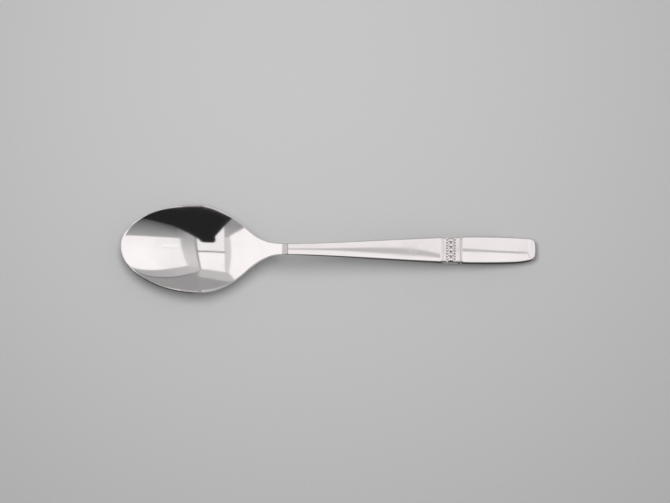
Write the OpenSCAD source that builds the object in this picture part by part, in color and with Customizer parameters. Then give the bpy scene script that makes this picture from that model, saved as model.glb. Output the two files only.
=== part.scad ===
// Demitasse spoon with a hollow handle, a collar on the neck and a beaded band.
// It lies on a table, z = 0, on the heel of the bowl and the end of the handle.
// X runs from the bowl (-) to the end of the handle (+), and Y runs across the spoon.

/* [Overall] */
// Length from the tip of the bowl to the end of the handle
overall_len = 110; // [100:1:125]
// Height of the top of the handle where it leaves the collar, above the table
arch_h = 12.2; // [10.5:0.1:13.5]
// Depth of the small flats that the spoon rests on
rest_cut = 0.12; // [0.08:0.01:0.2]

/* [Bowl] */
// Width of the bowl across its rim, at the widest place
bowl_w = 23.7; // [20:0.1:27]
// Length from the tip of the bowl to its widest place
bowl_front = 20; // [17:0.5:23]
// Length from the widest place to the collar on the neck
bowl_back = 22.8; // [21:0.2:26]
// Share of the back length at which the outline turns from round to hollow
bowl_knee = 0.585; // [0.5:0.005:0.65]
// Depth of the bowl below its rim
bowl_depth = 5.6; // [5:0.1:7]
// Fullness of the bowl: 1 is a parabola, less is rounder
bowl_fullness = 0.97; // [0.7:0.01:1]
// Thickness of the metal at the bottom of the bowl
bowl_wall = 0.95; // [0.7:0.05:1.3]
// Thickness of the metal at the rim
rim_t = 0.55; // [0.4:0.05:0.8]
// Width of the flat land on top of the rim
rim_land = 0.3; // [0.25:0.05:0.6]
// Rise of the rim from the tip of the bowl to its widest place
rim_rise = 0.7; // [0:0.1:1.5]

/* [Neck] */
// Width of the neck
neck_w = 3; // [2.8:0.1:3.8]
// Thickness of the neck
neck_t = 2.4; // [2.2:0.1:3]
// Length of the collar between the neck and the handle
collar_len = 1.6; // [1:0.1:3]
// Slope of the neck where it meets the collar, as a rise for each unit of length
neck_climb = 0.52; // [0.35:0.01:0.6]

/* [Tang] */
// Width of the tang inside the handle
tang_w = 1.3; // [1:0.1:1.5]
// Thickness of the tang
tang_t = 0.8; // [0.6:0.1:0.9]
// Length of the tang behind the neck
tang_len = 28; // [15:1:36]

/* [Handle] */
// Width of the handle at its end panel
handle_w = 7.4; // [6.5:0.1:9]
// Thickness of the handle at its end panel
handle_t = 3; // [2.6:0.1:4]
// Distance from the end of the handle to where it reaches its full width
wide_from_tip = 17; // [14:0.5:22]
// Slope of the handle where it leaves the collar, as a fall for each unit of length
handle_fall = 0.12; // [0.06:0.01:0.18]
// Length behind the collar over which the fall grows steeper
bend_len = 4.6; // [3:0.1:8]
// Drop of the handle over that length
bend_drop = 0.58; // [0.3:0.02:0.8]
// Length of the end of the handle that rests on the table
foot_len = 3; // [2:0.5:6]
// Drop of the top of the handle over that end
foot_drop = 0.3; // [0.1:0.05:0.4]
// Length over which the handle narrows towards its end
tip_round_len = 14; // [10:0.5:17]
// Share of its width that the handle loses there
tip_narrow = 0.15; // [0.05:0.01:0.3]
// Radius of the two corners at the end of the handle, seen from above
tip_corner = 1.3; // [0.6:0.1:1.6]
// Length over which the end of the handle rounds off, seen from the side
tip_edge_len = 1.4; // [0.8:0.1:2]
// Thickness of the two handle shells
shell_wall = 0.6; // [0.55:0.05:0.7]
// Thickness of the closed end of the shells
end_wall = 1.5; // [1.2:0.1:2.5]

/* [Beaded band] */
// Distance from the end of the handle to the row of larger beads
band_from_tip = 22.6; // [20:0.2:30]
// Length of the strap that carries the beads
strap_len = 5.2; // [5:0.1:6.5]
// Thickness of the strap
strap_t = 0.2; // [0.15:0.05:0.25]
// Depth of the strap's face below the handle's face
strap_sink = 0.15; // [0.05:0.05:0.2]
// Distance from the row of larger beads to each row of small beads
row_step = 1.02; // [1:0.01:1.15]
// Distance between neighbours in the row of larger beads
bead_pitch = 1.33; // [1.1:0.01:1.4]
// Number of larger beads
bead_count = 5; // [3:1:5]
// Distance between neighbours in a row of small beads
small_pitch = 0.75; // [0.6:0.01:0.78]
// Number of small beads in a row
small_count = 9; // [5:1:9]
// Height of the larger beads above the strap
bead_h = 0.5; // [0.3:0.02:0.6]
// Height of the small beads above the strap
small_h = 0.3; // [0.2:0.02:0.36]
// Distance from the row of larger beads to the straight moulding
straight_moulding_from_row = 2.3; // [2:0.05:2.4]
// Distance from the row of larger beads to the ends of the curved moulding
curved_moulding_from_row = 2.3; // [2.1:0.05:2.4]
// Bow of the curved moulding towards the beads
moulding_bow = 0.35; // [0:0.05:0.5]
// Width of the mouldings
moulding_w = 0.4; // [0.3:0.02:0.42]

/* [Hidden] */

// Places along the spoon, measured from the tip of the bowl
neck_s = bowl_front + bowl_back;
handle_s = neck_s + collar_len;
bend_s = handle_s + bend_len;
foot_s = overall_len - foot_len;
wide_s = overall_len - wide_from_tip;
tip_s = overall_len - tip_round_len;
edge_s = overall_len - tip_edge_len;
end_wall_s = overall_len - end_wall;
tang_end_s = neck_s + tang_len;
band_s = overall_len - band_from_tip;
strap_a = band_s - strap_len / 2;
strap_b = band_s + strap_len / 2;
seat_sink = strap_sink + strap_t;
// Rise of the top line over the collar, which bends evenly from one slope to the other
collar_rise = collar_len * (neck_climb - handle_fall) / 2;

// Shape of the handle's section and of its end seen from the side, as superellipse powers
section_power = 5;
edge_power = 2.2;
// Share of the handle's widening that is eased, the rest being straight
widening_ease = 0.6;
// Smallest share of the full height at the very end of the handle
blunt_end = 0.16;
// Half width of the blunt tip of the bowl, as a share of the bowl's half width
blunt_tip = 0.06;
// Shares of the back of the bowl between which the dish turns into the neck bar
neck_blend_from = 0.4;
neck_blend_to = 0.74;
// Share of the rim's land that rounds off its outer edge
rim_edge_share = 0.25;
// A height on the climb from the bowl to the collar: its share of the length and of the climb, and its slope
climb_at = 0.6;
climb_share = 0.0676;
climb_slope = 0.206;
// A height on the fall from the bend to the end, the same way
fall_at = 0.5;
fall_share = 0.52;
// Run of a step in the shells
step_run = shell_wall / 30;
// Overlap of neighbouring beads, as a share of their pitch
bead_merge = 0.03;
// Steps round half of a section, and along the parts of the spoon
half_steps = 16;
front_steps = 11;
back_steps = 12;
stem_steps = 12;
panel_steps = 3;
tip_steps = 7;
collar_steps = 4;
$fn = 32;

function mix(a, b, u) = a + (b - a) * u;
function clamp01(u) = min(1, max(0, u));
function ease(u) = let (c = clamp01(u)) c * c * (3 - 2 * c);
function signed_power(v, p) = sign(v) * pow(abs(v), p);

// Outline of the bowl: half an ellipse to the widest place, then two parabolas to the neck
function bowl_front_half(s) = bowl_w / 2 * sqrt(max(0, 1 - pow(1 - s / bowl_front, 2)));
function bowl_back_share(u) =
    u < bowl_knee ? 1 - u * u / bowl_knee : pow(1 - u, 2) / (1 - bowl_knee);
function bowl_half(s) =
    s < bowl_front
        ? max(bowl_w / 2 * blunt_tip, bowl_front_half(s))
        : mix(neck_w / 2, bowl_w / 2, bowl_back_share(clamp01((s - bowl_front) / bowl_back)));

// Outline of the handle: it widens from the neck, narrows again and ends in two round corners
function widening(u) = widening_ease * ease(u) + (1 - widening_ease) * clamp01(u);
function narrowing(s) = 1 - tip_narrow * pow(clamp01((s - tip_s) / (overall_len - tip_s)), 2);
function corner(s) =
    let (run = max(0, s - overall_len + tip_corner))
    tip_corner - sqrt(max(0, tip_corner * tip_corner - run * run));
function handle_half(s) =
    mix(neck_w / 2, handle_w / 2, widening((s - handle_s) / (wide_s - handle_s))) * narrowing(s) - corner(s);
function end_edge(s) =
    s < edge_s ? 1
               : max(blunt_end, pow(max(0, 1 - pow((s - edge_s) / tip_edge_len, edge_power)), 1 / edge_power));
function bar_thickness(s) = mix(neck_t, handle_t, widening((s - handle_s) / (wide_s - handle_s)));

// Top line of the spoon seen from the side: a smooth curve through a few heights
function heights(lift) = [
    [0, lift - rim_rise],
    [bowl_front, lift],
    [mix(bowl_front, neck_s, climb_at), mix(lift, arch_h, climb_share), climb_slope],
    [neck_s, arch_h - collar_rise, neck_climb],
    [handle_s, arch_h, -handle_fall],
    [bend_s, arch_h - bend_drop],
    [mix(bend_s, foot_s, fall_at), mix(arch_h - bend_drop, handle_t, fall_share)],
    [foot_s, handle_t - rest_cut],
    [overall_len, handle_t - rest_cut - foot_drop]
];
// Slope at one of the heights: its own where it has one, or else from its neighbours
function slope(pts, i) =
    let (a = pts[max(0, i - 1)], b = pts[min(len(pts) - 1, i + 1)])
    len(pts[i]) > 2 ? pts[i][2] : (b[1] - a[1]) / (b[0] - a[0]);
function span_of(pts, s) = max([0, for (i = [0:len(pts) - 2]) if (s >= pts[i][0]) i]);
function curve_at(pts, s) =
    let (i = span_of(pts, s), a = pts[i], b = pts[i + 1], run = b[0] - a[0], t = (s - a[0]) / run)
    (2 * t * t * t - 3 * t * t + 1) * a[1] + (t * t * t - 2 * t * t + t) * run * slope(pts, i)
    + (3 * t * t - 2 * t * t * t) * b[1] + (t * t * t - t * t) * run * slope(pts, i + 1);

// The bowl is lifted so that the flat on its heel is rest_cut deep
function dish_depth(s) = bowl_depth * pow(bowl_half(s) / (bowl_w / 2), 2 * bowl_fullness);
flat_lift = bowl_depth + bowl_wall;
heel_sink = min([for (k = [0:front_steps])
    let (s = bowl_front * k / front_steps)
    curve_at(heights(flat_lift), s) - dish_depth(s) - bowl_wall]);
spine = heights(flat_lift - heel_sink - rest_cut);
function top_z(s) = curve_at(spine, s);
function bar_mid(s) = top_z(s) - bar_thickness(s) / 2;

// A place on the spoon, from the length s, the offset y across it and the height z
function place(s, y, z) = [s - overall_len / 2, y, z];

// One point of the handle's section at an angle, drawn in from its surface by inset
function bar_point(s, a, inset) =
    let (half = handle_half(s) - inset,
         tall = bar_thickness(s) / 2 * end_edge(s) - inset)
    place(s, half * signed_power(cos(a), 2 / section_power),
          bar_mid(s) + tall * signed_power(sin(a), 2 / section_power));
function bar_arc(s, from, to, inset) =
    [for (k = [0:half_steps]) bar_point(s, mix(from, to, k / half_steps), inset)];
function bar_ring(s, inset) = [for (k = [0:2 * half_steps - 1]) bar_point(s, 180 * k / half_steps, inset)];
function tang_ring(s) = [for (k = [0:2 * half_steps - 1])
    let (a = 180 * k / half_steps)
    place(s, tang_w / 2 * signed_power(cos(a), 2 / section_power),
          bar_mid(s) + tang_t / 2 * signed_power(sin(a), 2 / section_power))];
function parting_line(s) = [for (k = [0:half_steps])
    place(s, (handle_half(s) - shell_wall) * (1 - 2 * k / half_steps), bar_mid(s))];

// One section of the dish: rim and hollow on top, then the underside
function dish_top_z(s, y) =
    let (half = bowl_half(s) - min(rim_land, bowl_half(s) / 2))
    top_z(s) - dish_depth(s) * pow(max(0, 1 - pow(y / half, 2)), bowl_fullness);
function dish_bottom_z(s, y) =
    top_z(s) - rim_t
    - (dish_depth(s) + bowl_wall - rim_t) * pow(max(0, 1 - pow(y / bowl_half(s), 2)), bowl_fullness);
function dish_ring(s) =
    let (half = bowl_half(s), land = min(rim_land, half / 2))
    [for (k = [0:2 * half_steps - 1])
        let (a = 180 * k / half_steps, side = sign(cos(a)))
        k == 0 || k == half_steps ? place(s, side * half, top_z(s) - rim_t / 2)
        : k == 1 || k == half_steps - 1 ? place(s, side * (half - land * rim_edge_share), top_z(s))
        : k < half_steps
            ? let (b = 180 * (k - 2) / (half_steps - 4), y = (half - land) * cos(b))
              place(s, y, dish_top_z(s, y))
            : place(s, half * cos(a), dish_bottom_z(s, half * cos(a)))];
function neck_bar_ring(s) = [for (p = bar_ring(handle_s, 0))
    place(s, p[1] / handle_half(handle_s) * bowl_half(s), p[2] - bar_mid(handle_s) + top_z(s) - neck_t / 2)];
function bowl_ring(s) =
    let (u = ease(((s - bowl_front) / bowl_back - neck_blend_from) / (neck_blend_to - neck_blend_from)),
         dish = dish_ring(s), bar = neck_bar_ring(s))
    [for (k = [0:len(dish) - 1]) mix(dish[k], bar[k], u)];

// Stations along the spoon
bowl_stations = concat(
    [for (k = [0:front_steps]) bowl_front * (1 - cos(90 * k / front_steps))],
    [for (k = [1:back_steps]) bowl_front + bowl_back * k / back_steps]);
handle_stations = concat(
    [for (k = [0:stem_steps]) mix(handle_s, strap_a - step_run, k / stem_steps)],
    [strap_a, strap_b],
    [for (k = [0:panel_steps - 1]) mix(strap_b + step_run, tip_s, k / panel_steps)],
    [for (k = [0:tip_steps - 1]) mix(tip_s, end_wall_s, sin(90 * k / tip_steps))]);
end_stations = [for (k = [0:tip_steps]) mix(end_wall_s + step_run, overall_len, sin(90 * k / tip_steps))];
collar_stations = concat([for (k = [0:collar_steps - 1]) mix(neck_s, handle_s, k / collar_steps)], [handle_s]);
tang_stations = concat(
    [for (s = collar_stations) if (s < handle_s) s],
    [for (s = handle_stations) if (s < tang_end_s) s],
    [tang_end_s]);
filler_stations = concat(handle_stations, [end_wall_s]);

// Triangles that close a ring, zipped between its two halves and leaning towards the ring's middle
function cap(count) = [for (j = [0:floor((count - 1) / 2) - 1])
    let (m = count - 1 - j)
    each j + 1 == m - 1 ? [[j, j + 1, m]]
        : 4 * j < count ? [[j, j + 1, m], [j + 1, m - 1, m]] : [[j, j + 1, m - 1], [j, m - 1, m]]];

// Triangles between each ring of points and the next, the last one being followed by the first
function side_faces(spans, count, total) = [for (i = [0:spans - 1]) for (j = [0:count - 1])
    let (a = i * count + j, b = i * count + (j + 1) % count, c = (a + count) % total, d = (b + count) % total)
    each [[a, c, d], [a, d, b]]];

// A closed solid through rings of points that all have the same count
module loft(rings) {
    count = len(rings[0]);
    far = (len(rings) - 1) * count;
    sides = side_faces(len(rings) - 1, count, len(rings) * count);
    far_cap = [for (t = cap(count)) [far + t[2], far + t[1], far + t[0]]];
    polyhedron(points = [for (ring = rings) each ring], faces = concat(cap(count), sides, far_cap));
}

// A hoop through rings of points, whose last ring joins its first
module hoop(rings) {
    count = len(rings[0]);
    polyhedron(points = [for (ring = rings) each ring],
               faces = side_faces(len(rings), count, len(rings) * count));
}

// Everything below the table, which cuts the flats that the spoon rests on
module below_table() {
    translate([-overall_len, -overall_len / 2, -overall_len])
        cube([2 * overall_len, overall_len, overall_len]);
}

// One half of the handle: a thin shell between two angles, with a closed end and the strap's seat
module handle_half_shell(from, to, seat) {
    function outer(s) = bar_arc(s, from, to, s == strap_a || s == strap_b ? seat : 0);
    loft(concat(
        [for (s = filler_stations) concat(outer(s), bar_arc(s, to, from, shell_wall))],
        [for (s = end_stations)
            let (line = parting_line(s))
            concat(bar_arc(s, from, to, 0), from == 0 ? [for (k = [half_steps:-1:0]) line[k]] : line)]));
}

// The whole section of the handle under the ornament, which the beads are seated on
module band_ground() {
    loft([bar_ring(strap_a, strap_sink), bar_ring(strap_b, strap_sink)]);
}

// A point on the strap, and the direction that its surface faces there
function strap_point(s, a) =
    mix(bar_point(strap_a, a, strap_sink), bar_point(strap_b, a, strap_sink),
        (s - strap_a) / (strap_b - strap_a));
function strap_facing(a) =
    let (v = [0, signed_power(cos(a), 2 - 2 / section_power) * bar_thickness(band_s),
              signed_power(sin(a), 2 - 2 / section_power) * 2 * handle_half(band_s)])
    v / norm(v);
function strap_angle(y) =
    acos(signed_power(max(-1, min(1, y / (handle_half(band_s) - strap_sink))), section_power / 2));

// A row of beads across the strap, merged into one beaded wire with a seat cut to the strap
module bead_row(s, count, pitch, tall) {
    foot = pitch * (0.5 + bead_merge);
    radius = (foot * foot + tall * tall) / (2 * tall);
    difference() {
        for (k = [0:count - 1])
            let (a = strap_angle((k - (count - 1) / 2) * pitch))
            translate(strap_point(s, a) - strap_facing(a) * (radius - tall))
                sphere(radius);
        band_ground();
    }
}

// A half-round moulding that follows the strap over the top of the handle
module moulding(s, bow) {
    arc_steps = 6;
    loft([for (k = [1:half_steps - 1])
        let (a = 180 * k / half_steps,
             here = s + bow * (1 - pow(cos(a), 2)),
             r = moulding_w / 2)
        [for (j = [0:arc_steps])
            let (b = 180 * j / arc_steps)
            strap_point(here + r * cos(b), a) + strap_facing(a) * r * sin(b)]]);
}

module bowl() {
    color("gainsboro") difference() {
        loft(concat([for (s = bowl_stations) bowl_ring(s)], [for (s = tang_stations) tang_ring(s)]));
        below_table();
    }
}

module neck_collar() {
    color("darkgray") hoop(concat(
        [for (k = [collar_steps:-1:0]) tang_ring(collar_stations[k])],
        [for (s = collar_stations) bar_ring(s, 0)]));
}

module handle_upper_shell() {
    color("whitesmoke") handle_half_shell(0, 180, seat_sink);
}

module handle_lower_shell() {
    color("lightgray") difference() {
        handle_half_shell(180, 360, 0);
        below_table();
    }
}

module handle_filler() {
    sockets = [for (s = tang_stations) if (s >= handle_s) s];
    color("tan") loft(concat(
        [for (k = [len(sockets) - 1:-1:0]) tang_ring(sockets[k])],
        [for (s = filler_stations) bar_ring(s, shell_wall)]));
}

module band_strap() {
    color("silver") loft([for (s = [strap_a, strap_b])
        concat(bar_arc(s, 0, 180, strap_sink), bar_arc(s, 180, 0, seat_sink))]);
}

module bead_row_centre() {
    color("white") bead_row(band_s, bead_count, bead_pitch, bead_h);
}

module bead_row_bowl_side() {
    color("white") bead_row(band_s - row_step, small_count, small_pitch, small_h);
}

module bead_row_tip_side() {
    color("white") bead_row(band_s + row_step, small_count, small_pitch, small_h);
}

module band_moulding_bowl_side() {
    color("silver") moulding(band_s - curved_moulding_from_row, moulding_bow);
}

module band_moulding_tip_side() {
    color("silver") moulding(band_s + straight_moulding_from_row, 0);
}

bowl();
neck_collar();
handle_upper_shell();
handle_lower_shell();
handle_filler();
band_strap();
bead_row_centre();
bead_row_bowl_side();
bead_row_tip_side();
band_moulding_bowl_side();
band_moulding_tip_side();
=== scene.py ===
# %% [markdown]
# # A demitasse spoon in eleven pieces
# This small coffee spoon lies on the heel of its bowl and on the end of its handle. The packed
# solids already have the right sizes and places. This lesson gives each of them the smooth,
# polished surface of the real spoon, in the same frame and in metres.

# %% Load the solids
import math

import bmesh
import bpy
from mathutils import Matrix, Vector


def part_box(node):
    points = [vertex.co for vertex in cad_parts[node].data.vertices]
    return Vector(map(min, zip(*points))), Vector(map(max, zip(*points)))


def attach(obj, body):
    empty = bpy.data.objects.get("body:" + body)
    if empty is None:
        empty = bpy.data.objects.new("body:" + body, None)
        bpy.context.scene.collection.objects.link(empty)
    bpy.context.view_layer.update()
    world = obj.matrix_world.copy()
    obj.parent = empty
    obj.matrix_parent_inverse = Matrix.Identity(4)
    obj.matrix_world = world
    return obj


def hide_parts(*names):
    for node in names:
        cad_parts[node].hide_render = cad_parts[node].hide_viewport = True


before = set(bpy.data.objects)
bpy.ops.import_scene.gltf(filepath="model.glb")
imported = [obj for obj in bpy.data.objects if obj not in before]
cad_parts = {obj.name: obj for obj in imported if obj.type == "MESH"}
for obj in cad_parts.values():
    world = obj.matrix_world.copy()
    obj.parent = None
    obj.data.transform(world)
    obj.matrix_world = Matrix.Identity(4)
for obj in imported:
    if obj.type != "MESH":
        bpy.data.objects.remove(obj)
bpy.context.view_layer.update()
print("solids:", sorted(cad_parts))

# %% [markdown]
# ## Sizes
# A spoon is easiest to describe by a length along it, from the tip of the bowl. Where a solid
# has a clear end, its box gives that length, so a piece always meets its neighbour. The other
# sizes are the maker's own, in millimetres. They are the solids' sizes too, apart from a few
# crisper edges and a slight lean of the bowl, which a mirror image shows and a solid need not.

# %% Measure the solids
MM = 0.001


def low(node, axis):
    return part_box(node)[0][axis] / MM


def high(node, axis):
    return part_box(node)[1][axis] / MM


tip_x = low("bowl", 0)
spoon_len = high("handle_upper_shell", 0) - tip_x
neck_s = low("neck_collar", 0) - tip_x
handle_s = high("neck_collar", 0) - tip_x
tang_end_s = high("bowl", 0) - tip_x
strap_a = low("band_strap", 0) - tip_x
strap_b = high("band_strap", 0) - tip_x
bowl_half_w = high("bowl", 1)
handle_half_w = high("handle_upper_shell", 1)
print(f"length {spoon_len:.2f}, neck at {neck_s:.2f}, handle at {handle_s:.2f}")
print(f"band from {strap_a:.2f} to {strap_b:.2f}")

# %% Sizes that the boxes do not show
bowl_front = 20.0
bowl_back = neck_s - bowl_front
bowl_knee = 0.585
bowl_depth = 5.6
bowl_fullness = 0.97
bowl_wall = 0.95
rim_t = 0.55
rim_land = 0.3
rim_rise = 0.7
rest_cut = 0.12
arch_h = 12.2
neck_climb = 0.52
handle_fall = 0.12
climb_slope = 0.206
neck_half = 1.5
neck_t = 2.4
handle_t = 3.0
wide_s = spoon_len - 17.0
tip_s = spoon_len - 14.0
tip_narrow = 0.15
tip_corner = 1.3
edge_run = 0.9
edge_power = 6.0
end_wall_s = spoon_len - 1.5
bend_s = handle_s + 4.6
bend_drop = 0.58
foot_s = spoon_len - 3.0
foot_drop = 0.3
shell_wall = 0.6
far_edge = (20.0, 3.0)
near_edge = (20.0, 2.2)
neck_edge = (14.0, 5.0)
crown = 0.012
print("bowl from its widest place to the neck:", round(bowl_back, 2))

# %% [markdown]
# ## The lines of the spoon
# Three lines give the whole shape: the outline of the bowl, the outline of the handle and the
# top line seen from the side. Each is a short rule. The bowl's outline is half an ellipse, then
# two parabolas that run into the neck. The top line is a smooth curve through a few heights.

# %% Outline of the bowl and of the handle
swell = 0.6
least_edge = 0.06


def mix(a, b, u):
    return a + (b - a) * u


def clamp(u):
    return min(1.0, max(0.0, u))


def ease(u):
    u = clamp(u)
    return u * u * (3 - 2 * u)


def bowl_half(s):
    if s < bowl_front:
        return bowl_half_w * math.sqrt(max(0.0, 1 - (1 - s / bowl_front) ** 2))
    u = clamp((s - bowl_front) / bowl_back)
    share = 1 - u * u / bowl_knee if u < bowl_knee else (1 - u) ** 2 / (1 - bowl_knee)
    return mix(neck_half, bowl_half_w, share)


def widening(s):
    u = (s - handle_s) / (wide_s - handle_s)
    return swell * ease(u) + (1 - swell) * clamp(u)


def end_edge(s):
    u = clamp((s - spoon_len + edge_run) / edge_run)
    return max(least_edge, (1 - u**edge_power) ** (1 / edge_power))


def handle_half(s):
    narrowing = 1 - tip_narrow * clamp((s - tip_s) / (spoon_len - tip_s)) ** 2
    run = max(0.0, s - spoon_len + tip_corner)
    corner = tip_corner - math.sqrt(max(0.0, tip_corner**2 - run**2))
    return mix(neck_half, handle_half_w, widening(s)) * narrowing - corner


def bar_thickness(s):
    return mix(neck_t, handle_t, widening(s))


print("bowl half width at the knee:", round(bowl_half(bowl_front + bowl_knee * bowl_back), 2))

# %% Top line seen from the side
climb_place, climb_share = 0.6, 0.0676
sag_place, sag_share = 0.5, 0.52


def heights(lift):
    bend_h = arch_h - bend_drop
    foot_h = handle_t - rest_cut
    collar_rise = (handle_s - neck_s) * (neck_climb - handle_fall) / 2
    return [
        (0, lift - rim_rise),
        (bowl_front, lift),
        (mix(bowl_front, neck_s, climb_place), mix(lift, arch_h, climb_share), climb_slope),
        (neck_s, arch_h - collar_rise, neck_climb),
        (handle_s, arch_h, -handle_fall),
        (bend_s, bend_h),
        (mix(bend_s, foot_s, sag_place), mix(bend_h, handle_t, sag_share)),
        (foot_s, foot_h),
        (spoon_len, foot_h - foot_drop),
    ]


def curve_at(points, s):
    i = max(k for k in range(len(points) - 1) if k == 0 or s >= points[k][0])

    def slope(k):
        if len(points[k]) > 2:
            return points[k][2]
        a, b = points[max(0, k - 1)], points[min(len(points) - 1, k + 1)]
        return (b[1] - a[1]) / (b[0] - a[0])

    (s0, z0), (s1, z1) = points[i][:2], points[i + 1][:2]
    run = s1 - s0
    t = (s - s0) / run
    return (
        (2 * t**3 - 3 * t**2 + 1) * z0
        + (t**3 - 2 * t**2 + t) * run * slope(i)
        + (3 * t**2 - 2 * t**3) * z1
        + (t**3 - t**2) * run * slope(i + 1)
    )


def dish_depth(s):
    return bowl_depth * (bowl_half(s) / bowl_half_w) ** (2 * bowl_fullness)


# %% Set the spoon down on its heel
front_steps = 11
flat_lift = bowl_depth + bowl_wall
heel_sink = min(
    curve_at(heights(flat_lift), s) - dish_depth(s) - bowl_wall
    for s in [bowl_front * k / front_steps for k in range(front_steps + 1)]
)
spine = heights(flat_lift - heel_sink - rest_cut)


def top_z(s):
    return curve_at(spine, s)


def bar_mid(s):
    return top_z(s) - bar_thickness(s) / 2


places = {"rim": bowl_front, "arch": handle_s, "end": spoon_len}
print("heights:", {name: round(top_z(s), 2) for name, s in places.items()})

# %% [markdown]
# ## A skin over rows of points
# Every polished piece is a skin stretched over rows of points, much as a boat's planks lie over
# its ribs. Subdivision could round a coarse cage instead, but it would draw the outline in, away
# from the solids. Points that fall together are merged, so poles and seams close, and the faces
# are then turned outwards. Fine rows matter here, because a mirror shows every facet.

# %% Skin helper
merge_within = 2e-7
shortest_edge = 1e-8
sharp_angle = math.radians(40)


def skin(name, rows, wrap=False, caps=False):
    bm = bmesh.new()
    grid = []
    for row in rows:
        grid.append([bm.verts.new((tip_x * MM + s * MM, y * MM, z * MM)) for s, y, z in row])
    count = len(rows[0])
    for near, far in zip(grid, grid[1:]):
        for j in range(count if wrap else count - 1):
            k = (j + 1) % count
            bm.faces.new([near[j], far[j], far[k], near[k]])
    if caps:
        bm.faces.new(grid[0])
        bm.faces.new(grid[-1])
    bmesh.ops.remove_doubles(bm, verts=bm.verts, dist=merge_within)
    bmesh.ops.dissolve_degenerate(bm, edges=bm.edges, dist=shortest_edge)
    bmesh.ops.recalc_face_normals(bm, faces=bm.faces)
    mesh = bpy.data.meshes.new(name)
    bm.to_mesh(mesh)
    open_edges = sum(1 for edge in bm.edges if len(edge.link_faces) != 2)
    bm.free()
    for face in mesh.polygons:
        face.use_smooth = True
    mesh.set_sharp_from_angle(angle=sharp_angle)
    piece = bpy.data.objects.new(name, mesh)
    bpy.context.scene.collection.objects.link(piece)
    print(f"{name}: {len(mesh.polygons)} faces, {open_edges} edges that do not join two faces")
    return piece


# %% [markdown]
# ## The bowl
# The bowl is pressed from one sheet: a dish close to a paraboloid, a rim with a softly rounded
# edge, a thicker underside and a neck. At the tip the rim is ground to a flat land, and the bowl
# sits a hair askew on its neck. Rays from the deepest place fill the front, and stations across
# the spoon fill the back, so that no row is crowded at the tip. Behind the neck the rows go on
# as the flat tang that the handle hides.

# %% Section of a bar
DISH, RIM, UNDER = 30, 8, 26
bow_fade = 0.25


def section_angles():
    upper = [math.radians(90 - 90 * k / (DISH + RIM)) for k in range(DISH + RIM + 1)]
    under = [math.radians(-90 * k / UNDER) for k in range(1, UNDER + 1)]
    return upper + under


def bar_height(share, into=1.0):
    """Height of a bar's section, from 0 to 1, at a share of its half width."""
    edge = far_edge if share > 0 else near_edge
    flat, rounding = (mix(p, q, into) for p, q in zip(neck_edge, edge))
    return max(0.0, 1 - abs(share) ** flat) ** (1 / rounding)


def bar_offset(half, tall, a, bow=crown, crest=0.0):
    y = half * math.cos(a)
    z = math.copysign(tall * bar_height(math.cos(a)), math.sin(a))
    return y, z - bow / 2 * (y - crest) ** 2 * max(0.0, math.sin(a)) ** bow_fade


# %% Lean of the bowl
sway_slope = 0.034
sway_from, sway_to = 16.0, 26.0
sway_mid, sway_tilt, sway_hold = 0.7, 0.3, 0.4
back_sway = 0.3
back_sway_from, back_sway_run = 22.0, 9.0
back_sway_end = 34.0


def sway(s, y):
    """Sideways push on the bowl: to the far side at the tip, to the near side at the back."""
    bend = (sway_to - sway_from) / 2
    reach = bend * clamp((sway_to - s) / (sway_to - sway_from)) ** 2 + max(0.0, sway_from - s)
    share = y / bowl_half_w
    front = sway_slope * reach * (sway_mid - sway_tilt * share - sway_hold * max(0.0, share) ** 2)
    fade = 1 - ease((s - back_sway_end) / (neck_s - back_sway_end))
    return front - back_sway * ease((s - back_sway_from) / back_sway_run) * fade


print("push at the tip:", round(sway(0.0, 0.0), 2), "and at the back:", round(sway(32.0, 0.0), 2))

# %% Rim of the bowl
LAND = 3
land_share = 0.8
tip_land = 0.58
tip_dip = 0.1
tip_land_run = 8.0
rim_bevel = 1.5


def rim_step(k, land, at_tip):
    """Inset and drop of one row of the rim: a round edge, or at the tip a land that leans in."""
    turn = math.pi / 2 * k / RIM
    inset = land * (1 - math.sin(turn) ** rim_bevel)
    drop = rim_t * (1 - math.cos(turn) ** rim_bevel)
    if k <= LAND:
        flat_inset = land * (1 - land_share * k / LAND)
        flat_drop = tip_dip * at_tip * (1 - k / LAND)
    else:
        turn = math.pi / 2 * (k - LAND) / (RIM - LAND)
        flat_inset = (1 - land_share) * land * (1 - math.sin(turn))
        flat_drop = rim_t * (1 - math.cos(turn))
    return mix(inset, flat_inset, at_tip), mix(drop, flat_drop, at_tip)


# %% Rows of the bowl
dish_shares = [math.sin(math.pi / 2 * k / DISH) for k in range(DISH + 1)]
under_shares = [math.cos(math.pi / 2 * k / UNDER) for k in range(1, UNDER + 1)]
neck_top_at, neck_top_run = 0.74, 0.23
neck_under_at, neck_under_run = 0.4, 0.34
crisp_neck_s = 37.5
tang_half_w, tang_half_t = 0.65, 0.4
slope_step = 0.01


def hollow(rho):
    return (1 - rho * rho) ** bowl_fullness


def front_ray(theta):
    along, across = math.cos(theta), math.sin(theta)
    at_tip = 1 - ease(bowl_front * (1 + along) / tip_land_run)
    land = mix(rim_land, tip_land, at_tip)
    dip = tip_dip * at_tip
    points = []

    def add(inset, rho, drop):
        s = bowl_front + (bowl_front - inset) * rho * along
        y = (bowl_half_w - inset) * rho * across
        points.append((s, y + sway(s, y), max(0.0, top_z(s) - drop)))

    for rho in dish_shares:
        add(land, rho, dip + (bowl_depth - dip) * hollow(rho))
    for k in range(1, RIM + 1):
        inset, drop = rim_step(k, land, at_tip)
        add(inset, 1.0, drop)
    for rho in under_shares:
        add(0.0, rho, rim_t + (bowl_depth + bowl_wall - rim_t) * hollow(rho))
    return points


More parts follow.
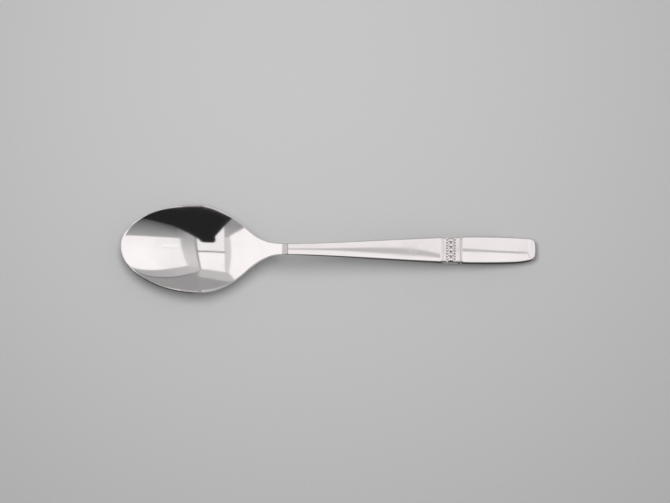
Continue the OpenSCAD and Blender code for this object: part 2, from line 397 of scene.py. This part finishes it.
def back_station(s, side):
    half, depth, top = bowl_half(s), dish_depth(s), top_z(s)
    lean = (bowl_half(s + slope_step) - bowl_half(s - slope_step)) / (2 * slope_step)
    land = min(rim_land * math.sqrt(1 + lean * lean), half / 2)
    section = [((half - land) * rho, top - depth * hollow(rho)) for rho in dish_shares]
    for k in range(1, RIM + 1):
        inset, drop = rim_step(k, land, 0.0)
        section.append((half - inset, top - drop))
    for rho in under_shares:
        section.append((half * rho, top - rim_t - (depth + bowl_wall - rim_t) * hollow(rho)))
    place = (s - bowl_front) / bowl_back
    neck_top = ease((place - neck_top_at) / neck_top_run)
    neck_under = ease((place - neck_under_at) / neck_under_run)
    into_collar = ease((s - crisp_neck_s) / (neck_s - crisp_neck_s))
    points = []
    for k, (y, z) in enumerate(section):
        tall = neck_t / 2 * bar_height(side * y / half, into_collar)
        if k <= DISH + RIM:
            z = mix(z, top - neck_t / 2 + tall, neck_top)
        else:
            z = mix(z, top - neck_t / 2 - tall, neck_under)
        points.append((s, side * y + sway(s, side * y), max(0.0, z)))
    return points


def tang_station(s, side, scale=1.0):
    points = []
    for a in section_angles():
        y, z = bar_offset(tang_half_w * scale, tang_half_t * scale, a)
        points.append((s, side * max(0.0, y), bar_mid(s) + z))
    return points


# %% Skin of the bowl
FRONT, BACK, TANG = 96, 64, 8


def bowl_side(side):
    back = [bowl_front + bowl_back * k / BACK for k in range(BACK + 1)]
    tang = [mix(neck_s, tang_end_s, k / TANG) for k in range(TANG + 1)]
    rows = [back_station(s, side) for s in back]
    rows += [tang_station(s, side) for s in tang]
    rows.append(tang_station(tang_end_s, side, 0.0))
    return rows


front_rays = [front_ray(math.radians(90 + 180 * k / FRONT)) for k in range(1, FRONT)]
bowl = skin("bowl_polished", bowl_side(1)[::-1] + front_rays + bowl_side(-1))

# %% [markdown]
# ## The collar on the neck
# A narrow grey ring covers the joint between the neck and the handle. It is turned on its own,
# so it has a satin face and a fine groove at each end, and the end at the handle shows a thin
# line of solder. A bevelled cylinder would be quicker, but the neck is not round, so rings with
# a small inset at the grooves follow its section. The ring is closed round the tang.

# %% Collar
RING = 96
groove = 0.04
groove_rings = [(0.0, groove), (0.05, 0.0), (0.88, 0.0), (0.92, groove), (1.0, groove)]
ring_angles = [2 * math.pi * k / RING for k in range(RING)]


def bar_point(s, a, inset=0.0, bow=crown, crest=0.0):
    half = handle_half(s) - inset
    tall = bar_thickness(s) / 2 * end_edge(s) - inset
    y, z = bar_offset(half, tall, a, bow, crest)
    return (s, y, bar_mid(s) + z)


collar_rows = []
for share, inset in groove_rings:
    s = mix(neck_s, handle_s, share)
    collar_rows.append([bar_point(s, a, inset) for a in ring_angles])
for s in (handle_s, neck_s):
    tang_ring = [bar_offset(tang_half_w, tang_half_t, a) for a in ring_angles]
    collar_rows.append([(s, y, bar_mid(s) + z) for y, z in tang_ring])
collar_rows.append(collar_rows[0])
collar = skin("neck_collar_satin", collar_rows, wrap=True)

# %% [markdown]
# ## The two shells of the handle
# The handle is two thin stampings, soldered edge to edge along its sides. The upper one has a
# channel for the beaded band, with rounded lips, and its end panel starts with round corners.
# Its face is bowed a little, with a crest that wanders to one side, and the near corner of its
# end is rounder than the far one. A fine groove follows the seam. A bevelled slab could not have
# all that, so the shells are skins too, with denser rows where the surface turns quickly.

# %% Stations along the handle
STEM, LIPS, PANEL, NARROW, TURN, LOWER = 60, 8, 24, 60, 40, 110
lip = 0.12
panel_lip = 0.5
seat = 0.35


def lip_rows(edge, outward, radius):
    rows = []
    for k in range(LIPS + 1):
        turn = math.pi / 2 * k / LIPS
        s = edge + outward * radius * (1 - math.sin(turn))
        rows.append((s, radius * (1 - math.cos(turn))))
    return rows


def even_rows(start, stop, count, first=0):
    return [(mix(start, stop, k / count), 0.0) for k in range(first, count)]


stem = even_rows(handle_s, strap_a - lip, STEM)
band = [(strap_a, seat), (strap_b, seat)]
panel_start = lip_rows(strap_b, 1, panel_lip)[::-1]
panel = even_rows(strap_b + panel_lip, tip_s, PANEL, first=1)
narrow = even_rows(tip_s, spoon_len - edge_run, NARROW)
turns = [math.pi / 2 * k / TURN for k in range(TURN)]
tip = narrow + [(spoon_len - edge_run + edge_run * math.sin(turn), 0.0) for turn in turns]
end = [(spoon_len, 0.0)]
upper_stations = stem + lip_rows(strap_a, -1, lip) + band + panel_start + panel + tip + end
lower_stations = even_rows(handle_s, tip_s, LOWER) + tip + end
print("stations on the upper shell:", len(upper_stations))

# %% Bow of the upper face
stem_crest = [(handle_s, 0.05), (60.8, 0.0), (74.0, -0.37), (80.8, -1.02), (strap_a, -1.8)]
stem_bow = [
    (handle_s, 0.024),
    (60.8, 0.0072),
    (74.0, 0.0034),
    (80.8, 0.0042),
    (strap_a, 0.0064),
]
panel_crest_s = strap_b + 2.0
panel_drift = 0.044
hook_s, hook_run, hook_size = spoon_len - 2.2, 0.9, 3.0
panel_bow, tip_bow, tip_bow_run = 0.0075, 0.012, 10.0


def crest_of(s):
    """How far the highest line of the upper face lies beside the middle."""
    if s < strap_b:
        return curve_at(stem_crest, s)
    return -hook_size * ease((s - hook_s) / hook_run) - panel_drift * (s - panel_crest_s)


def bow_of(s):
    """How strongly the upper face is bowed across the handle."""
    if s < strap_b:
        return curve_at(stem_bow, s)
    return mix(panel_bow, tip_bow, clamp((s - strap_b) / tip_bow_run))


places = {"neck": handle_s, "band": strap_a, "end": spoon_len}
print("crest beside the middle:", {name: round(crest_of(s), 2) for name, s in places.items()})

# %% Skins of the shells
ARC = 64
seam_groove = 0.05
corner_run, corner_depth = 1.1, 0.4
near_corner, near_corner_run = 0.2, 6.0
end_bend, end_bend_run = 0.5, 3.0


def corner_inset(s):
    u = (s - strap_b) / corner_run
    return 0.0 if u < 0 or u > 1 else corner_depth * (1 - math.sqrt(1 - (1 - u) ** 2))


def outer_arc(s, start, stop, inset):
    bow, crest = bow_of(s), crest_of(s)
    trim = 1 - corner_inset(s) / handle_half(s)
    rounder = near_corner * clamp((s - spoon_len + near_corner_run) / near_corner_run) ** 2
    bend = end_bend * ease((s - spoon_len + end_bend_run) / end_bend_run)
    points = []
    for k in range(ARC + 1):
        seam = seam_groove if k in (0, ARC) else 0.0
        along, y, z = bar_point(s, mix(start, stop, k / ARC), inset + seam, bow, crest)
        along -= bend * (y / handle_half(tip_s)) ** 2
        points.append((along, y * (trim - rounder if y < 0 else trim), max(0.0, z)))
    return points


def inner_arc(s, start, stop):
    if s <= end_wall_s:
        return [bar_point(s, mix(stop, start, k / ARC), shell_wall) for k in range(ARC + 1)]
    half = handle_half(s) - min(shell_wall, handle_half(s) / 2)
    side = math.cos(stop)
    return [(s, half * side * (1 - 2 * k / ARC), bar_mid(s)) for k in range(ARC + 1)]


def shell(name, stations, start, stop):
    rows = [outer_arc(s, start, stop, inset) + inner_arc(s, start, stop) for s, inset in stations]
    return skin(name, rows, wrap=True, caps=True)


upper_shell = shell("handle_upper_polished", upper_stations, 0.0, math.pi)
lower_shell = shell("handle_lower_polished", lower_stations, math.pi, 2 * math.pi)

# %% [markdown]
# ## The strap of the band
# A thin strip lies in the channel and carries the ornament. Its face is a little lower than the
# handle's, so the band looks let in. It follows the handle's section over the top and a little
# way down both sides, so it is a skin over the same section, set lower.

# %% Strap
STRAP = 12
strap_sink = 0.15


def strap_point(s, a, rise=0.0):
    near = bar_point(strap_a, a, strap_sink - rise)
    far = bar_point(strap_b, a, strap_sink - rise)
    u = (s - strap_a) / (strap_b - strap_a)
    return tuple(mix(p, q, u) for p, q in zip(near, far))


strap_rows = []
for k in range(STRAP + 1):
    s = mix(strap_a, strap_b, k / STRAP)
    face = [strap_point(s, math.pi * j / ARC) for j in range(ARC + 1)]
    back = [strap_point(s, math.pi * (1 - j / ARC), strap_sink - seat) for j in range(ARC + 1)]
    strap_rows.append(face + back)
strap = skin("band_strap_satin", strap_rows, wrap=True, caps=True)

# %% [markdown]
# ## Shader maths in plain sums
# A material is a little sum over the surface. This class wraps a socket, so that a mask can be
# written as 1 - scratch, and its node method adds any other node: first the settings, then the
# numbers or wires of the sockets. Geometry Nodes use the same method later.

# %% A socket that can be used in sums


class Wire:
    def __init__(self, tree, socket=None):
        self.tree = tree
        self.socket = socket

    def node(self, kind, settings=None, sockets=None, out=0):
        made = self.tree.nodes.new(kind)
        for name, value in (settings or {}).items():
            setattr(made, name, value)
        for key, value in (sockets or {}).items():
            if isinstance(value, Wire):
                self.tree.links.new(value.socket, made.inputs[key])
            else:
                made.inputs[key].default_value = value
        return Wire(self.tree, made.outputs[out] if len(made.outputs) else None)

    def sum(self, operation, a, b=0.0):
        return self.node("ShaderNodeMath", {"operation": operation}, {0: a, 1: b})

    def __add__(self, other):
        return self.sum("ADD", self, other)

    __radd__ = __add__

    def __mul__(self, other):
        return self.sum("MULTIPLY", self, other)

    __rmul__ = __mul__

    def __sub__(self, other):
        return self.sum("SUBTRACT", self, other)

    def __rsub__(self, other):
        return self.sum("SUBTRACT", other, self)

    def __truediv__(self, other):
        return self.sum("DIVIDE", self, other)

    def __pow__(self, other):
        return self.sum("POWER", self, other)

    def __abs__(self):
        return self.sum("ABSOLUTE", self)

    def axis(self, letter):
        """One coordinate of a place or a direction."""
        return self.node("ShaderNodeSeparateXYZ", None, {"Vector": self}, out=letter)

    def rise(self, start, stop):
        """0 before start, 1 after stop, and smooth between them."""
        limits = {"Value": self, "From Min": start, "From Max": stop}
        return self.node("ShaderNodeMapRange", {"interpolation_type": "SMOOTHSTEP"}, limits)

    def past(self, line, soft):
        """1 where this is beyond a line, with a soft edge."""
        return (self - line).rise(-soft, soft)

    def between(self, start, stop, soft):
        return self.past(start, soft) * (1 - self.past(stop, soft))


def larger(a, b):
    return a.sum("MAXIMUM", a, b)


def smaller(a, b):
    return a.sum("MINIMUM", a, b)


def laid(under, over, mask):
    return under + (over - under) * mask


# %% Colours are mixed, not summed


def grey(level):
    return (level, level, level, 1)


def colour_mix(share, first, second):
    """The first colour where share is 0, the second where it is 1."""
    colours = {0: share, 6: first, 7: second}
    return share.node("ShaderNodeMix", {"data_type": "RGBA"}, colours, out=2)


# %% [markdown]
# ## Metals
# The spoon is one metal with several finishes. The bowl and the shells are mirror polished, with
# hairlines from years of wiping and a softer shine where fingers and cloths touch, most of all
# in the bowl. The collar is satin with a line of solder, the ground of the band is polished less
# finely, and the beads carry painted shade on their lower half, which darkens the gaps between
# them. Only a few numbers differ, so one function makes all five. Its noise is stretched along
# and across the spoon, because that is how a spoon is wiped.

# %% A polished, worn metal
# Painted shade: this dark colour is laid low on each bead, in the gaps between the beads.
gap_shade_colour = (0.06, 0.05, 0.05, 1)
solder_colour = (0.2, 0.19, 0.19, 1)
solder_share = 0.5
solder_out, solder_in = 0.2 * MM, 0.12 * MM
dulling, cloud_dull, worn_dull = 0.93, 0.5, 0.3
gap_dark, gap_bright = 0.15, 0.65
wiped_along, wiped_across = (0.05, 1, 1), (1, 0.07, 1)
hairline_depth = 2e-6


def start_material(name):
    material = bpy.data.materials.new(name)
    material.use_nodes = True
    material.node_tree.nodes.clear()
    return material, Wire(material.node_tree)


def place_wire(wires, scale):
    here = wires.node("ShaderNodeTexCoord", out="Object")
    return here.node("ShaderNodeMapping", None, {"Vector": here, "Scale": scale})


def noise(place, scale, detail=2.0):
    grain = {"Vector": place, "Scale": scale, "Detail": detail}
    return place.node("ShaderNodeTexNoise", None, grain)


def metal(name, colour, shine, spread, scratch, bump, gap_shade=0.0, joint=None):
    """Roughness from shine to shine + spread, with hairlines, painted shade low on beads and a
    joint.
    """
    material, wires = start_material(name)
    even = place_wire(wires, (1, 1, 1))
    along = place_wire(wires, wiped_along)
    askew = place_wire(wires, wiped_across)
    cloud = noise(even, scale=160.0, detail=4.0).rise(0.35, 0.7)
    hair = noise(along, scale=9000.0).rise(0.62, 0.72)
    cross = noise(askew, scale=7000.0).rise(0.66, 0.74)
    worn = (hair + cross) * cloud
    dull = [c * dulling for c in colour]
    tint = colour_mix(cloud * cloud_dull + worn * worn_dull, (*colour, 1), (*dull, 1))
    # Painted shade: each bead is darkened on its lower half, where the gaps between beads lie in
    # shade.
    if gap_shade:
        lift = even.node("ShaderNodeAttribute", {"attribute_name": "lift"}, out="Fac")
        tint = colour_mix(gap_shade * (1 - lift.rise(gap_dark, gap_bright)), tint, gap_shade_colour)
    if joint:
        solder = abs(even.axis("X") - joint * MM).rise(solder_out, solder_in)
        tint = colour_mix(solder_share * solder, tint, solder_colour)
    lines = {"Strength": bump, "Distance": hairline_depth, "Height": 1 - worn}
    finish = {
        "Base Color": tint,
        "Metallic": 1.0,
        "Roughness": shine + spread * cloud + scratch * worn,
        "Normal": even.node("ShaderNodeBump", None, lines),
    }
    shader = even.node("ShaderNodeBsdfPrincipled", None, finish)
    even.node("ShaderNodeOutputMaterial", None, {"Surface": shader})
    return material


# %% Five finishes
solder_x = tip_x + handle_s - 0.13
polished = metal(
    "polished_steel", (0.825, 0.80, 0.80), shine=0.025, spread=0.02, scratch=0.06, bump=0.15
)
bowl_metal = metal(
    "bowl_steel", (0.90, 0.885, 0.88), shine=0.075, spread=0.03, scratch=0.05, bump=0.15
)
collar_metal = metal(
    "collar_steel",
    (0.68, 0.65, 0.65),
    shine=0.24,
    spread=0.05,
    scratch=0.08,
    bump=0.3,
    joint=solder_x,
)
band_metal = metal(
    "band_steel", (0.80, 0.76, 0.755), shine=0.1, spread=0.08, scratch=0.12, bump=0.4
)
# The beads' metal paints shade low on each bead, in the gaps between them.
bead_metal = metal(
    "bead_steel", (0.92, 0.89, 0.885), shine=0.05, spread=0.04, scratch=0.08, bump=0.2, gap_shade=0.8
)
print("metals:", [m.name for m in (polished, bowl_metal, collar_metal, band_metal, bead_metal)])

# %% [markdown]
# ## The cement inside
# The hollow handle is filled with a hard cement that grips the tang. Nobody sees it on a whole
# spoon, but the part can be cut open or exploded, so it gets a sandy, matt material. Its solid
# has the right shape already and stays.

# %% Cement
pit_depth = 5e-5
sand_dark, sand_pale = (0.42, 0.36, 0.29, 1), (0.66, 0.6, 0.51, 1)
cement, wires = start_material("filler_cement")
even = place_wire(wires, (1, 1, 1))
grit = noise(even, scale=2500.0, detail=6.0)
sand = colour_mix(grit, sand_dark, sand_pale)
pits = even.node("ShaderNodeBump", None, {"Strength": 0.6, "Distance": pit_depth, "Height": grit})
finish = {"Base Color": sand, "Roughness": 0.75 + 0.2 * grit, "Normal": pits}
stone = even.node("ShaderNodeBsdfPrincipled", None, finish)
even.node("ShaderNodeOutputMaterial", None, {"Surface": stone})
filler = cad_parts["handle_filler"]
filler.data.materials.clear()
filler.data.materials.append(cement)
print("cement on:", filler.name)

# %% [markdown]
# ## Beads and mouldings
# The ornament repeats along a path that goes over the handle, which is what Geometry Nodes are
# for. One tree sets beads on a path and another sweeps a round wire along one. The path is a
# chain of short edges at the height where the beads' middles lie.

# %% Paths over the strap


def path_piece(name, points):
    mesh = bpy.data.meshes.new(name)
    verts = [((tip_x + s) * MM, y * MM, z * MM) for s, y, z in points]
    mesh.from_pydata(verts, [(k, k + 1) for k in range(len(verts) - 1)], [])
    piece = bpy.data.objects.new(name, mesh)
    bpy.context.scene.collection.objects.link(piece)
    return piece


def strap_angle(y, s):
    return math.acos(max(-1.0, min(1.0, y / (handle_half(s) - strap_sink))))


# %% Start, end and use of a tree


def new_tree(name, sizes):
    tree = bpy.data.node_groups.new(name, "GeometryNodeTree")
    tree.interface.new_socket("Geometry", in_out="INPUT", socket_type="NodeSocketGeometry")
    keys = {}
    for label, kind in sizes:
        keys[label] = tree.interface.new_socket(label, in_out="INPUT", socket_type=kind).identifier
    tree.interface.new_socket("Geometry", in_out="OUTPUT", socket_type="NodeSocketGeometry")
    source = tree.nodes.new("NodeGroupInput")
    inputs = {socket.name: Wire(tree, socket) for socket in source.outputs if socket.name}
    return tree, keys, inputs


def close_tree(wire, material_wire):
    solid = wire.node("GeometryNodeRealizeInstances", None, {"Geometry": wire})
    rounded = wire.node("GeometryNodeSetShadeSmooth", None, {"Geometry": solid})
    finish = {"Geometry": rounded, "Material": material_wire}
    wire.node("NodeGroupOutput", None, {0: wire.node("GeometryNodeSetMaterial", None, finish)})


def grown(path, tree, keys, values):
    """Runs a tree on a path and keeps the result as a plain mesh under the same name."""
    modifier = path.modifiers.new("grow", "NODES")
    modifier.node_group = tree
    for label, value in values.items():
        modifier[keys[label]] = value
    bpy.context.view_layer.update()
    ready = path.evaluated_get(bpy.context.evaluated_depsgraph_get())
    mesh = bpy.data.meshes.new_from_object(ready)
    path.modifiers.remove(modifier)
    path.data = mesh
    print(f"{path.name}: {len(mesh.polygons)} faces")
    return path


# %% Tree that sets beads on a path
bead_tree, bead_keys, given = new_tree(
    "beads on a path",
    [("Count", "NodeSocketInt"), ("Radius", "NodeSocketFloat"), ("Metal", "NodeSocketMaterial")],
)
curve = given["Geometry"].node("GeometryNodeMeshToCurve", None, {"Mesh": given["Geometry"]})
dots = curve.node("GeometryNodeResampleCurve", None, {"Curve": curve, "Count": given["Count"]})
ball_size = {"Segments": 32, "Rings": 16, "Radius": given["Radius"]}
ball = curve.node("GeometryNodeMeshUVSphere", None, ball_size)
# Each point of the ball keeps its height as lift, which the bead metal reads to paint shade low on
# the bead.
level = curve.node("GeometryNodeInputPosition").axis("Z") / given["Radius"]
lifted = {"Geometry": ball, "Name": "lift", "Value": level}
marked = curve.node("GeometryNodeStoreNamedAttribute", None, lifted)
beads = curve.node("GeometryNodeInstanceOnPoints", None, {"Points": dots, "Instance": marked})
close_tree(beads, given["Metal"])
print("inputs of the beads:", list(bead_keys))

# %% Tree that sweeps a wire along a path
wire_tree, wire_keys, given = new_tree(
    "wire along a path", [("Radius", "NodeSocketFloat"), ("Metal", "NodeSocketMaterial")]
)
curve = given["Geometry"].node("GeometryNodeMeshToCurve", None, {"Mesh": given["Geometry"]})
circle_size = {"Resolution": 20, "Radius": given["Radius"]}
circle = curve.node("GeometryNodeCurvePrimitiveCircle", {"mode": "RADIUS"}, circle_size)
sweep = {"Curve": curve, "Profile Curve": circle, "Fill Caps": True}
swept = curve.node("GeometryNodeCurveToMesh", None, sweep)
close_tree(swept, given["Metal"])
print("inputs of the wire:", list(wire_keys))

# %% Three rows of beads
band_s = (strap_a + strap_b) / 2
row_step = 1.02
large = {"count": 5, "pitch": 1.33, "radius": 0.655, "tall": 0.5}
small = {"count": 9, "pitch": 0.75, "radius": 0.37, "tall": 0.3}


def bead_row(name, s, count, pitch, radius, tall):
    reach = (count - 1) / 2 * pitch
    points = []
    for k in range(count):
        a = strap_angle(mix(-reach, reach, k / (count - 1)), s)
        points.append(strap_point(s, a, tall - radius))
    sizes = {"Count": count, "Radius": radius * MM, "Metal": bead_metal}
    return grown(path_piece(name, points), bead_tree, bead_keys, sizes)


centre_beads = bead_row("bead_row_centre_bright", band_s, **large)
bowl_side_beads = bead_row("bead_row_bowl_side_bright", band_s - row_step, **small)
tip_side_beads = bead_row("bead_row_tip_side_bright", band_s + row_step, **small)

# %% Two mouldings
moulding_step = 2.3
moulding_radius = 0.2
moulding_bow = 0.35
SIDE_GAP = 4


def moulding(name, s, bow):
    points = []
    for k in range(SIDE_GAP, ARC - SIDE_GAP + 1):
        a = math.pi * k / ARC
        points.append(strap_point(s + bow * math.sin(a) ** 2, a))
    sizes = {"Radius": moulding_radius * MM, "Metal": band_metal}
    return grown(path_piece(name, points), wire_tree, wire_keys, sizes)


bowl_side_moulding = moulding("moulding_bowl_side_bright", band_s - moulding_step, moulding_bow)
tip_side_moulding = moulding("moulding_tip_side_bright", band_s + moulding_step, 0.0)

# %% [markdown]
# ## Hand the pieces over
# Each finished piece takes the place of its solid and rides on the one body that the spoon has.

# %% Pieces, solids and finishes
dressed = [
    (bowl, "bowl", "polished_steel", bowl_metal),
    (collar, "neck_collar", "collar_steel", collar_metal),
    (upper_shell, "handle_upper_shell", "polished_steel", polished),
    (lower_shell, "handle_lower_shell", "polished_steel", polished),
    (strap, "band_strap", "band_steel", band_metal),
    (centre_beads, "bead_row_centre", "bead_steel", bead_metal),
    (bowl_side_beads, "bead_row_bowl_side", "bead_steel", bead_metal),
    (tip_side_beads, "bead_row_tip_side", "bead_steel", bead_metal),
    (bowl_side_moulding, "band_moulding_bowl_side", "bead_steel", band_metal),
    (tip_side_moulding, "band_moulding_tip_side", "bead_steel", band_metal),
]
for piece, node, slot, material in dressed:
    if not piece.data.materials:
        piece.data.materials.append(material)
    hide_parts(node)
    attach(piece, "root")
print("dressed:", len(dressed), "of", len(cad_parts))

# %% [markdown]
# ## Floor
# The spoon lies on a plain pale table, whose grain is so faint that the colour hardly varies.
# The near flank of the spoon mirrors the shaded table beside it. A real shadow that deep would
# show on the table too, so a strip of the table is dark for mirrors only, with a gap at the bowl.

# %% Pale table
table_half = 1.5
table_low, table_high = 0.59, 0.61
strip_level = 0.03
strip_starts, strip_ends = (-0.036, -0.024), (-0.003, -0.0015)
gap_starts, gap_ends, gap_soft = -0.034, -0.009, 0.004
corner_signs = ((-1, -1), (1, -1), (1, 1), (-1, 1))
table_mesh = bpy.data.meshes.new("table")
corners = [(a * table_half, b * table_half, 0) for a, b in corner_signs]
table_mesh.from_pydata(corners, [], [(0, 1, 2, 3)])
table = bpy.data.objects.new("table", table_mesh)
bpy.context.scene.collection.objects.link(table)
pale, wires = start_material("pale_table")
grain = noise(place_wire(wires, (1, 1, 1)), scale=900.0, detail=3.0)
paper = colour_mix(grain, grey(table_low), grey(table_high))
matt = grain.node("ShaderNodeBsdfPrincipled", None, {"Base Color": paper, "Roughness": 0.9})
spot = grain.node("ShaderNodeTexCoord", out="Object")
across, along = spot.axis("Y"), spot.axis("X")
strip = across.rise(*strip_starts) * (1 - across.rise(*strip_ends))
strip = strip * (1 - along.between(gap_starts, gap_ends, gap_soft))
mirrored = grain.node("ShaderNodeLightPath", out="Is Glossy Ray")
shade = grain.node("ShaderNodeBsdfDiffuse", None, {"Color": grey(strip_level)})
top = grain.node("ShaderNodeMixShader", None, {0: mirrored * strip, 1: matt, 2: shade})
grain.node("ShaderNodeOutputMaterial", None, {"Surface": top})
table.data.materials.append(pale)
print("table:", 2 * table_half, "m wide")

# %% [markdown]
# ## Studio light
# A polished spoon looks like the room around it. Panels and lamps could be built as objects, but
# their mirrored edges would be hard to place, so the room is drawn in the world. A direction is
# flattened to two numbers, u along the spoon and v across it, as a mirror ball is unrolled into
# a disc. In those numbers a bright panel is just a region between a few lines, and the bowl
# shows the same picture again, upside down. What is not polished gets an even grey light and one
# key light.

# %% Directions as two numbers
world = bpy.data.worlds.new("studio")
bpy.context.scene.world = world
world.use_nodes = True
world.node_tree.nodes.clear()
way = Wire(world.node_tree).node("ShaderNodeTexCoord", out="Generated")
x, y, z = (way.axis(letter) for letter in "XYZ")
ahead = larger(z + 1, 0.1)
u = x / ahead + 0.02
v = y / ahead
crisp, firm, soft = 0.006, 0.012, 0.02
print("half widths of edges in the room:", crisp, firm, soft)

# %% Far side: ceiling, its lower edge and the wall under it
ceiling_light, ceiling_dim = 0.57, 0.36
wall_light, wall_dim, wall_far = 0.57, 0.46, 0.34
fold_dark, fold_from, fold_soft = 0.2, -0.07, (0.022, 0.006)
wall_from, wall_to = -0.05, 0.35
ceiling_line = 0.593 - 0.32 * u
fold_line = 0.541 + 1.037 * u - 2.0 * u * u

room = laid(ceiling_light, ceiling_dim, v.past(ceiling_line, crisp))
wall = laid(wall_dim, wall_light, 1 - u.rise(wall_from, wall_to))
wall = laid(wall, wall_far, v.past(fold_line, crisp))
room = laid(room, wall, u.past(wall_from, soft))
fold = abs(v - fold_line).rise(*fold_soft) * u.past(fold_from, crisp)
room = laid(room, fold_dark, fold)
print("nodes with the far side:", len(world.node_tree.nodes))

# %% A window between two posts
left_edge = 0.078 - 0.06 * v - 0.127 * v * v
window_left = -0.032 - 0.041 * v - 0.107 * v * v
window_right = -0.392 + 0.03 * v - 0.07 * v * v
window_foot = 0.42 - 0.217 * u
post_low, post_high = 0.45, 0.69
pane_low, pane_high = 0.96, 1.04
crossbar_grey, crossbar_v, crossbar_soft = 0.38, 0.06, (0.026, 0.012)
frame_dark, frame_from, frame_to, frame_soft = 0.25, -0.5, 0.44, (0.012, 0.003)
right_frame_share, jamb_grey = 0.6, 0.7

post = laid(post_low, post_high, v.rise(-0.28, 0.2)) * (1 - 0.15 * v.rise(0.33, 0.45))
beside_window = (1 - u.past(left_edge, crisp)) * u.past(window_left, crisp)
room = laid(room, post, (1 - v.past(fold_line, soft)) * beside_window)
crossbar = abs(v - crossbar_v).rise(*crossbar_soft)
pane = laid(laid(pane_low, pane_high, v.rise(0.0, 0.12)), crossbar_grey, crossbar)
over_foot = 1 - v.past(window_foot, soft)
in_window = (1 - u.past(window_left, crisp)) * u.past(window_right, crisp)
room = laid(room, pane, in_window * over_foot)
left_frame = abs(u - window_left).rise(*frame_soft)
right_frame = right_frame_share * abs(u - window_right).rise(*frame_soft)
frames = larger(left_frame, right_frame) * v.between(frame_from, frame_to, soft)
room = laid(room, frame_dark, frames)
room = laid(room, jamb_grey, (1 - u.past(window_right, crisp)) * over_foot)
print("nodes with the window:", len(world.node_tree.nodes))

# %% Two white panels beside the window
right_edge = -0.471 + 0.04 * v + 0.06 * (v - 0.2) ** 2
right_foot = -0.163 - 1.536 * u
left_foot = 0.345 + 0.83 * u - 1.024 * u * u
panel_white, panel_bright = 1.06, 1.08

right_panel = (1 - u.past(right_edge, firm)) * (1 - v.past(right_foot, soft))
room = laid(room, panel_white, right_panel)
left_panel = u.past(left_edge, crisp) * (1 - v.past(left_foot, firm))
glow = laid(1.0, panel_bright, u.rise(0.12, 0.36)) * laid(0.95, 1.0, v.rise(-0.25, 0.1))
room = laid(room, glow, left_panel)
print("nodes with the panels:", len(world.node_tree.nodes))

# %% Near side: a grey screen and a dark cloth in front of it
cloth_left = larger(-0.394 - 0.779 * u, -0.287 - 1.66 * u)
cloth_edge = smaller(smaller(cloth_left, 0.152 + 1.567 * u), -0.16)
screen_top = -0.199 - 0.157 * u
screen_end = smaller(0.313 + 1.31 * u, -0.27)
screen_low, screen_high = 0.09, 0.42
screen_far_low, screen_far_high = 0.33, 0.45
cloth_dark, cloth_soft = 0.018, 0.014
bulge_u, bulge_half_u = -0.165, 0.106
bulge_v, bulge_half_v = -0.25, 0.12

climb = (v - cloth_edge) / larger(screen_top - cloth_edge, 0.05)
screen_left = (1 - v.past(screen_top, crisp)) * u.past(window_left, crisp)
room = laid(room, laid(screen_low, screen_high, climb), screen_left * u.past(0.06, 0.05))
screen_right = (1 - v.past(screen_end, firm)) * (1 - u.past(window_right, crisp))
room = laid(room, laid(screen_far_low, screen_far_high, v.rise(-0.6, -0.27)), screen_right)
cloth = 1 - v.past(cloth_edge, cloth_soft)
outwards = ((u - bulge_u) / bulge_half_u) ** 4 + ((v - bulge_v) / bulge_half_v) ** 4
room = laid(room, cloth_dark, larger(cloth, 1 - outwards.rise(0.8, 1.2)))
print("nodes with the near side:", len(world.node_tree.nodes))

# %% Two overhead lamps with a dim seam between them, seen only in the handle
lamp_white, seam_grey, seam_soft = 1.06, 0.6, (0.005, 0.0018)
lamps_from, lamps_to = 0.1, 0.225
overhead = u.between(lamps_from, lamps_to, firm)
near_lamp = (1 - v.past(-0.001, 0.001)) * v.rise(-0.12, -0.05)
room = laid(room, lamp_white, near_lamp * overhead)
seam = abs(v).rise(*seam_soft)
room = laid(room, seam_grey, seam * overhead)
print("nodes with the lamps:", len(world.node_tree.nodes))

# %% Colour of the room, and plain light for what is not polished
fill_level, backdrop_level = 0.35, 0.6
less_green, less_blue = 0.035, 0.03
warm = room.rise(0.3, 0.75)
levels = {0: room, 1: room * (1 - less_green * warm), 2: room * (1 - less_blue * warm)}
colour = way.node("ShaderNodeCombineColor", None, levels)
glossy = way.node("ShaderNodeLightPath", out="Is Glossy Ray")
camera_ray = way.node("ShaderNodeLightPath", out="Is Camera Ray")
lit = colour_mix(glossy, grey(fill_level), colour)
seen = colour_mix(camera_ray, lit, grey(backdrop_level))
backdrop = way.node("ShaderNodeBackground", None, {"Color": seen, "Strength": 1.0})
way.node("ShaderNodeOutputWorld", None, {"Surface": backdrop})
print("nodes in the world:", len(world.node_tree.nodes))

# %% Key light
key_data = bpy.data.lights.new("key", "AREA")
key_data.shape = "DISK"
key_data.size = 0.15
key_data.energy = 0.396
key = bpy.data.objects.new("key", key_data)
bpy.context.scene.collection.objects.link(key)
key.location = (-0.03, 0.06, 0.24)
key_target = Vector((0.072, 0.002, 0.0))
key_aim = key_target - key.location
key.rotation_euler = key_aim.to_track_quat("-Z", "Y").to_euler()
key.visible_glossy = False
key.visible_camera = False
print("key light", round(key_aim.length, 2), "m from where it points")

# %% [markdown]
# ## Camera
# The photograph looks straight down through a long lens. The spoon fills 62 per cent of its
# width and leans by a third of a degree.

# %% Camera straight above
view_width = 0.17737
distance = 0.9
film_width = 36.0
middle_x, middle_y, middle_z = 0.00173, -0.00056, 0.005
lean = math.radians(0.3)
camera_data = bpy.data.cameras.new("camera")
camera_data.sensor_width = film_width
camera_data.lens = film_width * distance / view_width
camera = bpy.data.objects.new("camera", camera_data)
bpy.context.scene.collection.objects.link(camera)
camera.location = (middle_x, middle_y, middle_z + distance)
camera.rotation_euler = (0, 0, lean)
bpy.context.scene.camera = camera
bpy.context.scene.view_settings.view_transform = "Standard"
print("lens:", round(camera_data.lens, 1), "mm")
